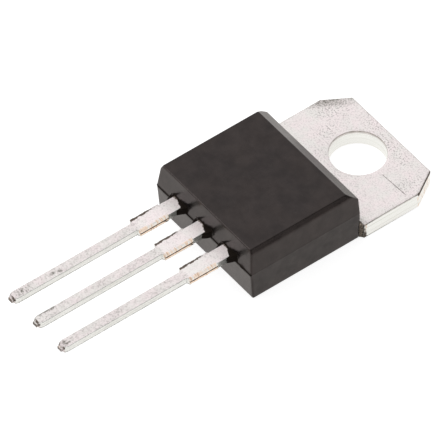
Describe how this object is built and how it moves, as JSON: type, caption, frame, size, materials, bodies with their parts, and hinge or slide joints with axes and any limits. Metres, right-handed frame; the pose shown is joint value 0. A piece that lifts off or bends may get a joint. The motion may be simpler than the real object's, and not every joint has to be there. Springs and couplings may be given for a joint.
{
  "type": "darlington transistor",
  "caption": "Three-lead power darlington transistor: black epoxy moulding over a tin-plated copper header with a bolt-down tab, straight leads and internal chip with bond wires.",
  "frame": {"origin": "centre of the tab's hole, on the face of the tab that lies on the heatsink", "axes": "+Z along the hole's axis away from the heatsink, +Y along the device towards the tab's free end, +X across the leads from base to emitter"},
  "size_m": [0.0102, 0.0284, 0.0043],
  "materials": {
    "moulding": "black epoxy moulding compound, satin, with a fine matt grain",
    "tinned_copper": "matt tin plate over copper, bare copper where the frame was sheared",
    "solder": "dull soft solder",
    "silicon": "polished silicon with aluminium metal on top",
    "bond_wire": "drawn aluminium wire"
  },
  "bodies": {
    "root": {"moulded_body": "moulding", "collector_header": "tinned_copper", "base_lead": "tinned_copper", "emitter_lead": "tinned_copper", "die_solder": "solder", "darlington_die": "silicon", "base_wire": "bond_wire", "emitter_wire": "bond_wire"}
  },
  "joints": []
}
